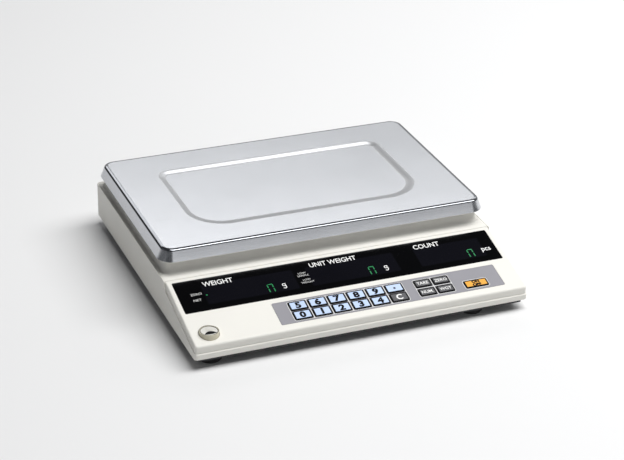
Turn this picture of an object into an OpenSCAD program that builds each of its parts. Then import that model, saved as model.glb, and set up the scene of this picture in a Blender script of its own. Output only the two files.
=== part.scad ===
// Counting scale: a low ABS housing with a sloping console, a lift-off
// stainless platter on a single-point load cell, and four levelling feet.
// Origin at floor level under the middle of the housing, X to the right,
// Y to the back, Z up.

/* [Housing] */
// Overall width of the housing
body_w = 350; // [330:1:380]
// Overall depth of the housing
body_d = 322; // [310:1:350]
// Height of the housing's lower edge above the floor
base_z = 11; // [10:0.5:14]
// Height of the flat shoulder round the deck
shoulder_z = 48.5; // [46:0.5:54]
// Height of the console's front edge
console_front_z = 25.1; // [23:0.1:28]
// Y of the bend between the shoulder and the sloping console
bend_y = -67; // [-72:1:-62]
// Width of the step where the cover sits inside the lower housing
step_w = 1.2; // [0.8:0.1:2]
// Height of the console's side above that step
step_drop = 7.7; // [6:0.1:9]
// Wall thickness of the mouldings
wall = 2.5; // [2:0.1:3.2]
// Radius of the housing's upright corners
corner_r = 4; // [2:0.5:8]

/* [Deck] */
// Height of the raised deck's rim
deck_z = 65; // [62:0.5:67]
// Height of the floor of the well in the deck
well_z = 61.5; // [59:0.5:62]
// Distance from the deck's foot to the housing's side
deck_side = 3.5; // [3:0.5:8]
// Y of the deck's front foot
deck_front_y = -58.3; // [-62:0.1:-54]
// How far the deck's wall leans in over its flared foot
deck_flare = 4; // [2:0.5:6]

/* [Platter] */
// Width of the platter across its top
platter_w = 343.6; // [330:0.1:350]
// Depth of the platter across its top
platter_d = 213.7; // [200:0.1:220]
// Y of the platter's front edge
platter_front_y = -59; // [-62:0.5:-56]
// Height of the platter's top face
platter_z = 74.7; // [73:0.1:78]
// Depth of the platter with its skirt
platter_h = 12; // [10:0.5:14]
// How far the skirt flares out at its hem
platter_flare = 3; // [1:0.5:4]
// Sheet thickness of the platter
platter_t = 1; // [0.8:0.1:1.5]
// Depth of the pressed panel
panel_depth = 2.5; // [1.5:0.1:3]

/* [Console] */
// Width of the display window
window_w = 336.8; // [320:0.1:340]
// Height of the display window along the slope
window_h = 44; // [38:0.5:46]
// Distance up the slope to the window's middle
window_s = 67.2; // [64:0.1:70]
// Width of the keypad panel
keypad_w = 237.4; // [230:0.1:245]
// Height of the keypad panel along the slope
keypad_h = 30.2; // [29:0.1:32]
// X of the keypad panel's middle
keypad_x = 34.6; // [20:0.1:40]
// Distance up the slope to the keypad's middle
keypad_s = 23.6; // [22:0.1:25]
// Travel of a key
key_travel = 0.5; // [0.3:0.1:0.6]

/* [Weighing] */
// Length of the load cell
cell_l = 130; // [120:5:150]
// Width of the load cell
cell_w = 30; // [25:1:40]
// Height of the load cell
cell_h = 22; // [20:1:22]
// Y of the load cell's middle
cell_y = 47.85; // [40:0.05:55]

/* [Feet] */
// Diameter of a foot
foot_d = 25; // [20:0.5:30]
// Height of a foot's pad
foot_h = 6.5; // [5:0.1:6.5]
// X of the two left feet
foot_left_x = -153.5; // [-156:0.5:-120]
// X of the two right feet
foot_right_x = 121; // [110:0.5:156]
// Distance from the middle to the front and back feet
foot_y = 142; // [130:0.5:142]

/* [Hidden] */
$fn = 48;
eps = 0.01;

half_d = body_d / 2;
housing_wall = 3;

// Cover outline and console plane
cover_w = body_w - 2 * step_w;
cover_half_d = half_d - step_w;
cover_gap = 0.15;
console_front_y = -cover_half_d;
console_run = bend_y - console_front_y;
console_angle = atan2(shoulder_z - console_front_z, console_run);
rabbet_z = 44;
rabbet_y = bend_y - 5;
rabbet_run = 3;
beyond = 5;
far = 105;

function console_z(y) = console_front_z + (y - console_front_y) * tan(console_angle);

// Deck
deck_w = body_w - 2 * deck_side;
deck_back_y = half_d - 3.2;
deck_knee_z = shoulder_z + 7;
deck_lean = 1.5;
deck_corner_r = 9;
deck_root = 5;
well_margin = 13;
well_r = 8;

// Chassis tray
tray_t = 1.5;
tray_bottom = base_z - 3;
tray_top = tray_bottom + tray_t;
tray_w = body_w - 10;
tray_d = body_d - 5;
flange_t = 2.5;
flange_w = 14;
flange_top = base_z + flange_t;
tray_boss_r = 3.5;
vent_count = 8;
vent_x = 60;
vent_y = -88;
vent_pitch = 8;
vent_w = 3;
vent_l = 30;

// Cover screws: one post under the cover for each
cover_posts = [
    [-166, -122], [166, -122], [-166, 20], [166, 20], [-166, 118], [166, 118],
    [-110, -152.5], [156, -151.5], [-60, 152.5], [60, 152.5]
];
post_r = 4;
post_hole_r = 1.4;
cover_screw_r = 1.35;
cover_screw_head_r = 2.8;
cover_screw_reach = 8;
screw_head_h = 1.8;
cross_l = 3.2;
cross_w = 0.8;
screw_play = 0.3;

// Platter
platter_mid_y = platter_front_y + platter_d / 2;
platter_corner_r = 14;
platter_bend = 5;
panel_w = 247;
panel_front_y = -22.5;
panel_back_y = 111.5;
panel_wall = 6;
panel_front_r = 38;
panel_back_r = 14;

// Load cell stack
mount_plate_t = 4;
mount_plate_w = 110;
mount_plate_d = 90;
spacer_h = 6;
spacer_w = 30;
spacer_d = 28;
cell_bottom = tray_top + mount_plate_t + spacer_h;
cell_top = cell_bottom + cell_h;
cell_bolt_r = 3;
cell_bolt_reach = 12;
cell_bolt_head_r = 5;
cell_bolt_head_h = 3.5;
cell_bolt_socket = 5;
cell_thread_depth = 14;
cell_hole_x = 18;
cell_hole_r = 8.2;
cell_slot_h = 6;
stack_hole_w = 40;
stack_hole_d = 42;
cable_r = 2;
cable_exit_x = -25;
cable_turn_x = 98;
cell_bolt_x = [cell_l / 2 - 22, cell_l / 2 - 7];
cell_bolt_mid = (cell_bolt_x[0] + cell_bolt_x[1]) / 2;
upper_spacer_h = 8;
spider_bottom = 64;
spider_top = 69;
spider_boss_bottom = cell_top + upper_spacer_h;
spider_plate_w = 150;
spider_plate_d = 62;
spider_arm_w = 18;
spider_arm_x = 50;
spider_arm_y = 18;
spider_eye_r = 9;
spider_window_x = -25;
spider_window_w = 60;
spider_window_d = 30;
seat_z = spider_top - 4;
cushion_x = 146;
cushion_y = 82;
cushion_r = 6;
cushion_stem_r = 2.5;
stop_x = 104;
stop_y = 58;
stop_gap = 1;
stop_post_h = 44;
stop_across = 10;
stop_head_r = 4.5;
stop_head_h = 2;
stop_thread_r = 2.4;
stop_pin_r = 3;
stop_hole_r = 8;

// Console pieces, measured along the console's normal
window_t = 1.2;
window_open_w = 312;
keypad_open_w = 218;
keypad_open_h = 27.5;
groove_s = 93.5;
groove_w = 0.7;
groove_depth = 0.5;
panel_t = 0.8;
pocket_gap = 0.2;
tube_top = -3;
tube_t = 6;
display_board_top = tube_top - tube_t;
pcb_t = 1.6;
switch_top = -3.7;
switch_h = 3.6;
switch_w = 6;
plunger_h = 0.6;
plunger_r = 1.7;
keypad_board_top = switch_top - plunger_h - switch_h;
board_screw_r = 1.3;
board_screw_head_r = 2.7;
board_screw_reach = 4;
board_boss_r = 3;
display_board_w = 332;
display_board_h = 46;
keypad_board_w = 228;
keypad_board_h = 32;
// Middle and width of each tube
display_tubes = [[-96, 96], [12, 96], [118, 74]];
tube_h = 24;
tube_tip_r = 2;
tube_tip_l = 5;

// Keys: column and row places, sizes and depths
key_pitch_x = 20.3;
key_col_x = -59.7;
key_row_s = [17.0, 30.2];
key_w = 17.6;
key_h = 11.2;
func_w = 16.8;
func_h = 9.6;
func_x = [72.2, 91.8];
func_s = [17.3, 29.9];
power_w = 24;
power_h = 9.6;
power_x = 125.1;
power_s = 17;
key_gap = 0.3;
key_proud = 0.7;
key_flange = 0.6;
key_flange_top = -panel_t - 0.1;
key_flange_t = 0.8;
key_join = 0.4;
key_stem_r = 1.6;
key_stem_end = switch_top + key_travel + 0.1;

// Main board
main_x = 136.5;
main_y = 55;
main_w = 48;
main_d = 150;
main_z = 18;
header_y = main_y - main_d / 2 + 14;
header_h = 8;
header_d = 5;
capacitor_r = 4;
capacitor_h = 16;
standoff_inset = 5;
standoff_across = 6;
standoff_thread = 6;
sink_x = 149;
sink_y = 78;
sink_l = 44;
sink_h = 22;
sink_t = 3;
fin_count = 8;
fin_pitch = 6;
fin_t = 2;
fin_l = 7.5;
ribbon_t = 0.9;
display_ribbon_x = 121;
display_ribbon_w = 16;
keypad_ribbon_x = 139;
keypad_ribbon_w = 14;
cell_header_x = 117;
cell_header_y = 45;
cell_header_d = 12;

// Power jack in the back wall
jack_x = 110;
jack_z = 27;
jack_r = 5.5;
jack_bore_r = 3;
jack_bezel_t = 0.6;
jack_bezel_w = 2;
jack_barrel_l = 8;
jack_bore_l = 10;
jack_body_w = 11;
jack_nut_w = 2.5;
jack_nut_t = 2.4;
jack_pin_r = 1;

// Level vial
level_x = -155;
level_y = -144.5;
level_r = 9.8;
level_top = 31.6;
level_h = 8;
level_wall = 1.2;
collar_w = 2.2;

// Feet
stud_r = 4;
stud_top = 16.8;
nut_h = 6.5;
nut_across = 13;
foot_hole_r = 9;
feet = [
    [foot_left_x, -foot_y], [foot_right_x, -foot_y], [foot_left_x, foot_y], [foot_right_x, foot_y]
];

// ---------- Shared shapes ----------

// Rectangle with round corners, centred
module round_rect(w, d, r) {
    square([w - 2 * r, d], center = true);
    square([w, d - 2 * r], center = true);
    for (x = [-1, 1], y = [-1, 1])
        translate([x * (w / 2 - r), y * (d / 2 - r)]) circle(r);
}

// Rectangle whose front corners have one radius and back corners another
module two_radius_rect(w, front, back, front_r, back_r) {
    side = w / 2;
    translate([-side, front + front_r]) square([w, back - front - front_r - back_r]);
    translate([-side + front_r, front]) square([w - 2 * front_r, front_r + eps]);
    translate([-side + back_r, back - back_r - eps]) square([w - 2 * back_r, back_r + eps]);
    for (x = [-1, 1]) {
        translate([x * (side - front_r), front + front_r]) circle(front_r, $fn = 96);
        translate([x * (side - back_r), back - back_r]) circle(back_r, $fn = 64);
    }
}

// Prism along X from an outline drawn in (Y, Z)
module along_x(width) {
    translate([-width / 2, 0, 0])
        rotate([90, 0, 90])
            linear_extrude(width)
                children();
}

// Prism along Y from an outline drawn in (X, Z)
module along_y(front, back) {
    translate([0, back, 0])
        rotate([90, 0, 0])
            linear_extrude(back - front)
                children();
}

// Places children on the console: local Z is its outward normal
module on_console(x, s, n) {
    translate([
        x,
        console_front_y + s * cos(console_angle) - n * sin(console_angle),
        console_front_z + s * sin(console_angle) + n * cos(console_angle)
    ])
        rotate([console_angle, 0, 0])
            children();
}

// Plate lying in the console's plane, between two distances along its normal
module console_plate(x, s, w, h, r, top, thickness) {
    on_console(x, s, top - thickness)
        linear_extrude(thickness)
            round_rect(w, h, r);
}

// Cylinder between two heights
module post(x, y, bottom, top, r) {
    translate([x, y, bottom]) cylinder(r = r, h = top - bottom);
}

// Hexagonal prism by its width across flats
module hex_prism(across, h) {
    rotate([0, 0, 30]) cylinder(r = across / sqrt(3), h = h, $fn = 6);
}

// ---------- Housing ----------

// Side view of the space above the step that the cover fills
module cover_space_profile() {
    polygon([
        [-half_d - beyond, console_z(-half_d - beyond) - step_drop],
        [rabbet_y, console_z(rabbet_y) - step_drop],
        [rabbet_y + rabbet_run, rabbet_z],
        [half_d + beyond, rabbet_z],
        [half_d + beyond, far],
        [-half_d - beyond, far]
    ]);
}

// Side view of the cover's outer top, lowered by a thickness
module cover_top_profile(drop) {
    polygon([
        [-half_d - beyond, 0],
        [-half_d - beyond, console_z(-half_d - beyond) - drop / cos(console_angle)],
        [bend_y, shoulder_z - drop],
        [half_d + beyond, shoulder_z - drop],
        [half_d + beyond, 0]
    ]);
}

module lower_housing() {
    color("ivory")
    difference() {
        translate([0, 0, base_z])
            linear_extrude(shoulder_z - base_z)
                round_rect(body_w, body_d, corner_r);
        translate([0, 0, flange_top])
            linear_extrude(shoulder_z)
                round_rect(body_w - 2 * housing_wall, body_d - 2 * housing_wall, 2);
        translate([0, 0, base_z - 1])
            linear_extrude(flange_t + 2)
                round_rect(body_w - 2 * flange_w, body_d - 2 * flange_w, 6);
        // Room for the cover above the step
        intersection() {
            along_x(2 * body_w) cover_space_profile();
            linear_extrude(far)
                round_rect(cover_w + 2 * cover_gap, 2 * (cover_half_d + cover_gap), corner_r - 1);
        }
        // The side walls end at the step in front of the shoulder
        intersection() {
            along_x(2 * body_w) cover_space_profile();
            translate([-body_w, -body_d, 0]) cube([2 * body_w, body_d + rabbet_y + rabbet_run / 2, far]);
        }
        for (p = cover_posts)
            post(p[0], p[1], base_z - 1, flange_top + 1, cover_screw_r + screw_play);
        for (f = feet) post(f[0], f[1], base_z - 1, flange_top + 1, foot_hole_r);
        translate([jack_x, half_d + 1, jack_z])
            rotate([90, 0, 0]) {
                cylinder(r = jack_r + 0.1, h = jack_barrel_l);
                cylinder(r = jack_r + jack_bezel_w + 0.1, h = 1 + jack_bezel_t);
            }
    }
}

// Raised deck as an outer or inner block
module deck_block(inset, top) {
    w = deck_w / 2 - inset;
    front = deck_front_y + inset;
    back = deck_back_y - inset;
    knee = deck_flare;
    lean = deck_flare + deck_lean;
    root = shoulder_z - deck_root;
    intersection() {
        along_y(front - 1, back + 1)
            polygon([
                [-w, root], [-w, shoulder_z], [-w + knee, deck_knee_z], [-w + lean, top],
                [w - lean, top], [w - knee, deck_knee_z], [w, shoulder_z], [w, root]
            ]);
        along_x(2 * w + 2)
            polygon([
                [front, root], [front, shoulder_z], [front + knee, deck_knee_z],
                [front + lean, top], [back - lean, top], [back - knee, deck_knee_z],
                [back, shoulder_z], [back, root]
            ]);
        translate([0, (front + back) / 2, 0])
            linear_extrude(far)
                round_rect(2 * w, back - front, deck_corner_r - inset);
    }
}

// Floor of the well pressed into the deck
module deck_well(inset, depth_from, depth_to) {
    front = deck_front_y + well_margin + inset;
    back = deck_back_y - well_margin - inset;
    translate([0, (front + back) / 2, depth_from])
        linear_extrude(depth_to - depth_from)
            round_rect(deck_w - 2 * (well_margin + inset), back - front, well_r - inset);
}

module cover_shell() {
    difference() {
        union() {
            intersection() {
                linear_extrude(far) round_rect(cover_w, 2 * cover_half_d, corner_r - 1);
                along_x(body_w) cover_top_profile(0);
                along_x(body_w) cover_space_profile();
            }
            deck_block(0, deck_z);
        }
        intersection() {
            linear_extrude(far)
                round_rect(cover_w - 2 * wall, 2 * (cover_half_d - wall), 1);
            along_x(body_w) cover_top_profile(wall);
        }
        difference() {
            deck_block(wall, deck_z - wall);
            deck_well(-wall, well_z - wall, deck_z + 1);
        }
        deck_well(0, well_z, deck_z + 1);
    }
}

module board_bosses(xs, ss, top, bottom) {
    for (x = xs, s = ss)
        on_console(x, s, bottom)
            difference() {
                cylinder(r = board_boss_r, h = top - bottom);
                translate([0, 0, -1]) cylinder(r = board_screw_r - 0.02, h = top - bottom - 0.5);
            }
}

display_boss_x = [-163, 163];
display_boss_s = [window_s - 20, window_s + 20];
keypad_boss_x = [keypad_x - 111, keypad_x + 111];
keypad_boss_s = [keypad_s - 13.2, keypad_s + 13.2];

module top_cover() {
    color("ivory")
    difference() {
        union() {
            cover_shell();
            intersection() {
                for (p = cover_posts)
                    post(p[0], p[1], flange_top, min(shoulder_z + 1.5, console_z(p[1]) - 1), post_r);
                linear_extrude(far) round_rect(cover_w - 2, 2 * cover_half_d - 2, corner_r - 1);
            }
            board_bosses(display_boss_x, display_boss_s, -wall + 0.3, display_board_top);
            board_bosses(keypad_boss_x, keypad_boss_s, -wall + 0.3, keypad_board_top);
            // Collar that holds the level
            intersection() {
                post(level_x, level_y, level_top - level_h, level_top, level_r + collar_w);
                along_x(body_w) cover_top_profile(0.5);
            }
        }
        // Pockets and openings in the console
        console_plate(0, window_s, window_w + 2 * pocket_gap, window_h + 2 * pocket_gap, 1.5, 1,
            1 + window_t);
        console_plate(0, window_s, window_open_w, tube_h + 4, 2, 1, 1 + wall + 1);
        console_plate(keypad_x, keypad_s, keypad_w + 2 * pocket_gap, keypad_h + 2 * pocket_gap, 1.5,
            1, 1 + panel_t);
        console_plate(keypad_x - 1, keypad_s, keypad_open_w, keypad_open_h, 2, 1, 1 + wall + 1);
        post(level_x, level_y, level_top - level_h - 1, level_top + 2, level_r + 0.1);
        // Groove across the top of the console
        console_plate(0, groove_s, cover_w - 12, groove_w, 0.3, 1, 1 + groove_depth);
        // Holes for the cell's stack and the overload stops
        translate([cell_bolt_mid, cell_y, well_z - 2 * wall])
            linear_extrude(4 * wall)
                round_rect(stack_hole_w, stack_hole_d, 5);
        for (x = [-1, 1], y = [-1, 1])
            post(x * stop_x, cell_y + y * stop_y, well_z - 2 * wall, well_z + 2 * wall, stop_hole_r);
        for (p = cover_posts)
            post(p[0], p[1], flange_top - 1, flange_top + cover_screw_reach + 1, post_hole_r);
        // Foot nuts rise beside the front and back posts
        for (f = feet) post(f[0], f[1], base_z - 2, tray_top + nut_h + 2, foot_hole_r + 0.5);
    }
}

module chassis_tray() {
    color("#26272a")
    difference() {
        union() {
            difference() {
                translate([0, 0, tray_bottom])
                    linear_extrude(base_z - tray_bottom)
                        round_rect(tray_w, tray_d, 3);
                translate([0, 0, tray_top])
                    linear_extrude(base_z)
                        round_rect(tray_w - 2 * tray_t, tray_d - 2 * tray_t, 1.5);
            }
            for (p = cover_posts) post(p[0], p[1], tray_bottom + 0.5, base_z, tray_boss_r);
        }
        for (p = cover_posts) post(p[0], p[1], 0, base_z + 1, cover_screw_r + screw_play);
        for (f = feet) post(f[0], f[1], 0, base_z + 1, stud_r + screw_play);
        for (x = cell_bolt_x) post(-x, cell_y, 0, base_z + 1, cell_bolt_r + screw_play);
        for (x = [-1, 1], y = [-1, 1])
            post(x * stop_x, cell_y + y * stop_y, 0, base_z + 1, stop_thread_r + 0.1);
        // Vent slots
        for (i = [0:vent_count - 1])
            translate([vent_x + vent_pitch * i, vent_y, 0])
                linear_extrude(base_z + 1)
                    round_rect(vent_w, vent_l, vent_w / 2 - 0.1);
    }
}

module cell_mount_plate() {
    color("silver")
    difference() {
        translate([-cell_l / 2 + 5, cell_y, tray_top])
            linear_extrude(mount_plate_t)
                round_rect(mount_plate_w, mount_plate_d, 5);
        for (x = cell_bolt_x) post(-x, cell_y, 0, cell_bottom, cell_bolt_r + screw_play);
    }
}

module cover_screws() {
    color("silver")
    for (p = cover_posts) {
        post(p[0], p[1], tray_bottom - eps, flange_top + cover_screw_reach, cover_screw_r);
        difference() {
            post(p[0], p[1], tray_bottom - screw_head_h, tray_bottom, cover_screw_head_r);
            translate([p[0], p[1], tray_bottom - screw_head_h - cross_w])
                linear_extrude(2 * cross_w)
                    for (a = [0, 90]) rotate(a) square([cross_l, cross_w], center = true);
        }
    }
}

module foot_nuts() {
    color("silver")
    for (f = feet)
        translate([f[0], f[1], tray_top])
            difference() {
                hex_prism(nut_across, nut_h);
                translate([0, 0, -1]) cylinder(r = stud_r + 0.06, h = nut_h + 2);
            }
}

// ---------- Console electronics ----------

module display_window() {
    color("#0b0b0d")
    console_plate(0, window_s, window_w, window_h, 1.3, 0, window_t);
}

module display_board() {
    color("darkgreen")
    difference() {
        console_plate(0, window_s, display_board_w, display_board_h, 2, display_board_top, pcb_t);
        for (x = display_boss_x, s = display_boss_s)
            on_console(x, s, display_board_top - 2 * pcb_t)
                cylinder(r = board_screw_r + 0.2, h = 3 * pcb_t);
    }
}

// Vacuum-fluorescent tube: flat glass envelope with an exhaust tip
module display_tube(i) {
    x = display_tubes[i][0];
    w = display_tubes[i][1];
    color("#2c3b3d")
    union() {
        console_plate(x, window_s, w, tube_h, 2, tube_top, tube_t);
        on_console(x + w / 2 - 1, window_s, tube_top - tube_t / 2)
            rotate([0, 90, 0])
                cylinder(r = tube_tip_r, h = tube_tip_l);
    }
}

module weight_tube() {
    display_tube(0);
}

module unit_weight_tube() {
    display_tube(1);
}

module count_tube() {
    display_tube(2);
}

// Every key as x, distance up the slope, width and height
function number_key(col, row) = [key_col_x + col * key_pitch_x, key_row_s[row], key_w, key_h];
function func_key(col, row) = [func_x[col], func_s[row], func_w, func_h];
keys = concat(
    [for (i = [0:4]) number_key(i, 0)],
    [for (i = [0:4]) number_key(i, 1)],
    [number_key(5, 1), number_key(5, 0)],
    [func_key(0, 1), func_key(1, 1), func_key(0, 0), func_key(1, 0)],
    [[power_x, power_s, power_w, power_h]]
);

module keypad_panel() {
    color("#8e8d93")
    difference() {
        console_plate(keypad_x, keypad_s, keypad_w, keypad_h, 1.3, 0, panel_t);
        for (k = keys)
            console_plate(k[0], k[1], k[2] + 2 * key_gap, k[3] + 2 * key_gap, 1.6, 1, panel_t + 2);
    }
}

module keypad_board() {
    color("darkgreen")
    difference() {
        console_plate(keypad_x, keypad_s, keypad_board_w, keypad_board_h, 2, keypad_board_top, pcb_t);
        for (x = keypad_boss_x, s = keypad_boss_s)
            on_console(x, s, keypad_board_top - 2 * pcb_t)
                cylinder(r = board_screw_r + 0.2, h = 3 * pcb_t);
    }
}

module key_switches() {
    color("#303236")
    for (k = keys) {
        console_plate(k[0], k[1], switch_w, switch_w, 0.5, keypad_board_top + switch_h, switch_h);
        on_console(k[0], k[1], keypad_board_top + switch_h - eps)
            cylinder(r = plunger_r, h = plunger_h + eps);
    }
}

// Key cap with a hidden flange under the panel and a stem over its switch
module key(i, shade) {
    k = keys[i];
    color(shade)
    union() {
        console_plate(k[0], k[1], k[2], k[3], 1.3, key_proud, key_proud - key_flange_top + key_join);
        console_plate(k[0], k[1], k[2] + 2 * key_flange, k[3] + 2 * key_flange, 1.3,
            key_flange_top, key_flange_t);
        on_console(k[0], k[1], key_stem_end)
            cylinder(r = key_stem_r, h = key_flange_top - key_join - key_stem_end);
    }
}

module board_screws() {
    color("silver")
    union() {
        for (x = display_boss_x, s = display_boss_s) board_screw(x, s, display_board_top);
        for (x = keypad_boss_x, s = keypad_boss_s) board_screw(x, s, keypad_board_top);
        for (p = standoffs) {
            post(p[0], p[1], main_z - board_screw_reach, main_z + pcb_t, board_screw_r - 0.05);
            post(p[0], p[1], main_z + pcb_t, main_z + pcb_t + screw_head_h, board_screw_head_r);
        }
    }
}

module board_screw(x, s, board_top) {
    on_console(x, s, board_top - pcb_t) {
        translate([0, 0, -screw_head_h]) cylinder(r = board_screw_head_r, h = screw_head_h);
        cylinder(r = board_screw_r - 0.05, h = pcb_t + board_screw_reach);
    }
}

// ---------- Main board ----------

standoffs = [
    for (x = [-1, 1], y = [-1, 1])
        [main_x + x * (main_w / 2 - standoff_inset), main_y + y * (main_d / 2 - standoff_inset)]
];

module board_standoffs() {
    color("gold")
    for (p = standoffs)
        translate([p[0], p[1], tray_top])
            difference() {
                hex_prism(standoff_across, main_z - tray_top);
                translate([0, 0, main_z - tray_top - standoff_thread])
                    cylinder(r = board_screw_r, h = standoff_thread + 1);
            }
}

module main_board() {
    color("darkgreen")
    difference() {
        translate([main_x, main_y, main_z])
            linear_extrude(pcb_t)
                round_rect(main_w, main_d, 2);
        for (p = standoffs) post(p[0], p[1], main_z - 1, main_z + pcb_t + 1, board_screw_r + 0.2);
    }
}

// Block standing on the main board
module board_block(x, y, w, d, h) {
    translate([x, y, main_z + pcb_t])
        linear_extrude(h)
            round_rect(w, d, 0.5);
}

module board_parts() {
    color("#22242a")
    union() {
        // Processor, converter and memory packages
        board_block(134, 40, 22, 22, 3);
        board_block(130, 72, 24, 12, 3.5);
        board_block(134, 12, 20, 8, 2.5);
        // Reservoir capacitors
        for (i = [0:2])
            post(121 + 9 * i, 112 - 4 * i, main_z + pcb_t, main_z + pcb_t + capacitor_h, capacitor_r);
        // Headers for the two ribbons and the cell's cable
        board_block(display_ribbon_x, header_y, display_ribbon_w + 2, header_d, header_h);
        board_block(keypad_ribbon_x, header_y, keypad_ribbon_w + 2, header_d, header_h);
        board_block(cell_header_x, cell_header_y, header_d, cell_header_d, header_h);
    }
}

module heat_sink() {
    color("#44474c")
    translate([sink_x, sink_y, main_z + pcb_t])
        union() {
            cube([sink_t, sink_l, sink_h]);
            for (i = [0:fin_count - 1])
                translate([sink_t - 0.5, fin_pitch * i, 0]) cube([fin_l, fin_t, sink_h]);
        }
}

// Flat ribbon along X by its middle, with its side view as a path in (Y, Z)
module ribbon(x, w, path) {
    translate([x - w / 2, 0, 0])
        rotate([90, 0, 90])
            linear_extrude(w)
                for (i = [0:len(path) - 2]) ribbon_leg(path[i], path[i + 1]);
}

// One straight leg of a ribbon's side view
module ribbon_leg(a, b) {
    d = b - a;
    translate(a)
        rotate(atan2(d[1], d[0]))
            translate([-ribbon_t / 2, -ribbon_t / 2])
                square([norm(d) + ribbon_t, ribbon_t]);
}

// Height of the middle of a ribbon just under a console board
function under_board(y, board_top) =
    console_z(y) + (board_top - pcb_t) / cos(console_angle) - ribbon_t;
ribbon_over_header = main_z + pcb_t + header_h + ribbon_t / 2 + 0.1;

module display_ribbon() {
    color("lightgray")
    ribbon(display_ribbon_x, display_ribbon_w, [
        [-92, under_board(-92, display_board_top)], [-92, 25], [-36, 25], [-30, 32],
        [header_y, 32], [header_y, ribbon_over_header]
    ]);
}

module keypad_ribbon() {
    color("lightgray")
    ribbon(keypad_ribbon_x, keypad_ribbon_w, [
        [-131, under_board(-131, keypad_board_top)], [-131, 17], [-36, 17], [-30, 34],
        [header_y, 34], [header_y, ribbon_over_header]
    ]);
}

module dc_jack() {
    color("#1b1c1f")
    translate([jack_x, half_d, jack_z])
        rotate([90, 0, 0])
            union() {
                difference() {
                    union() {
                        cylinder(r = jack_r + jack_bezel_w, h = jack_bezel_t);
                        cylinder(r = jack_r, h = jack_barrel_l);
                        translate([0, 0, housing_wall + 0.1])
                            cylinder(r = jack_r + jack_nut_w, h = jack_nut_t);
                        translate([-jack_body_w / 2, -jack_body_w / 2, jack_barrel_l - 1])
                            cube([jack_body_w, jack_body_w, jack_barrel_l]);
                    }
                    translate([0, 0, -1]) cylinder(r = jack_bore_r, h = jack_bore_l + 1);
                }
                translate([0, 0, 1.5]) cylinder(r = jack_pin_r, h = jack_bore_l - 1);
            }
}

// ---------- Weighing mechanism ----------

module load_cell() {
    mid_z = (cell_bottom + cell_top) / 2;
    color("#c9ccd0")
    difference() {
        translate([-cell_l / 2, cell_y - cell_w / 2, cell_bottom]) cube([cell_l, cell_w, cell_h]);
        // Two round holes joined by a slot leave the thin bending webs
        for (x = [-cell_hole_x, cell_hole_x])
            translate([x, cell_y + cell_w, mid_z])
                rotate([90, 0, 0])
                    cylinder(r = cell_hole_r, h = 2 * cell_w);
        translate([-cell_hole_x, cell_y - cell_w, mid_z - cell_slot_h / 2])
            cube([2 * cell_hole_x, 2 * cell_w, cell_slot_h]);
        for (x = cell_bolt_x) {
            post(-x, cell_y, cell_bottom - 1, cell_bottom + cell_thread_depth, cell_bolt_r + 0.06);
            post(x, cell_y, cell_top - cell_thread_depth, cell_top + 1, cell_bolt_r + 0.06);
        }
    }
}

// Block between a plate and the cell with clearance holes for its bolts
module cell_spacer(side, bottom, top) {
    difference() {
        translate([side * cell_bolt_mid, cell_y, bottom])
            linear_extrude(top - bottom)
                round_rect(spacer_w, spacer_d, 2);
        for (x = cell_bolt_x) post(side * x, cell_y, bottom - 1, top + 1, cell_bolt_r + screw_play);
    }
}

module cell_spacer_lower() {
    color("silver")
    cell_spacer(-1, tray_top + mount_plate_t, cell_bottom);
}

module cell_spacer_upper() {
    color("silver")
    cell_spacer(1, cell_top, spider_boss_bottom);
}

module cell_bolts_lower() {
    color("dimgray")
    for (x = cell_bolt_x) {
        post(-x, cell_y, tray_bottom - eps, cell_bottom + cell_bolt_reach, cell_bolt_r);
        post(-x, cell_y, tray_bottom - cell_bolt_head_h, tray_bottom, cell_bolt_head_r);
    }
}

module cell_bolts_upper() {
    color("dimgray")
    for (x = cell_bolt_x)
        difference() {
            union() {
                post(x, cell_y, cell_top - cell_bolt_reach, seat_z, cell_bolt_r);
                post(x, cell_y, seat_z - eps, seat_z + cell_bolt_head_h, cell_bolt_head_r);
            }
            translate([x, cell_y, seat_z + 1]) hex_prism(cell_bolt_socket, cell_bolt_head_h);
        }
}

module load_cell_cable() {
    run_y = cell_y - cell_w / 2 - cable_r - 0.6;
    run_z = tray_top + mount_plate_t + cable_r + 0.7;
    exit = [cable_exit_x, run_y, cell_bottom + 6];
    down = [cable_exit_x, run_y, run_z];
    across = [cable_turn_x, run_y, run_z];
    end = [cell_header_x - 5, cell_header_y - 3, run_z + 8];
    color("#3a3b3f")
    union() {
        cable_leg(exit, down);
        cable_leg(down, across);
        cable_leg(across, end);
        // Tied bends, a little thicker than the cable
        for (p = [down, across]) translate(p) sphere(cable_r + 0.4);
    }
}

// Straight run of cable
module cable_leg(a, b) {
    d = b - a;
    l = norm(d);
    translate(a)
        rotate([0, acos(d[2] / l), atan2(d[1], d[0])])
            cylinder(r = cable_r, h = l);
}

module overload_stops() {
    color("silver")
    for (x = [-1, 1], y = [-1, 1])
        translate([x * stop_x, cell_y + y * stop_y, 0])
            union() {
                translate([0, 0, tray_top]) hex_prism(stop_across, stop_post_h);
                translate([0, 0, tray_bottom - stop_head_h])
                    cylinder(r = stop_head_r, h = stop_head_h);
                translate([0, 0, tray_bottom - 1]) cylinder(r = stop_thread_r, h = tray_t + 2);
                translate([0, 0, tray_top + stop_post_h - 1])
                    cylinder(r = stop_pin_r, h = spider_bottom - stop_gap - tray_top - stop_post_h + 1);
            }
}

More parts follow.
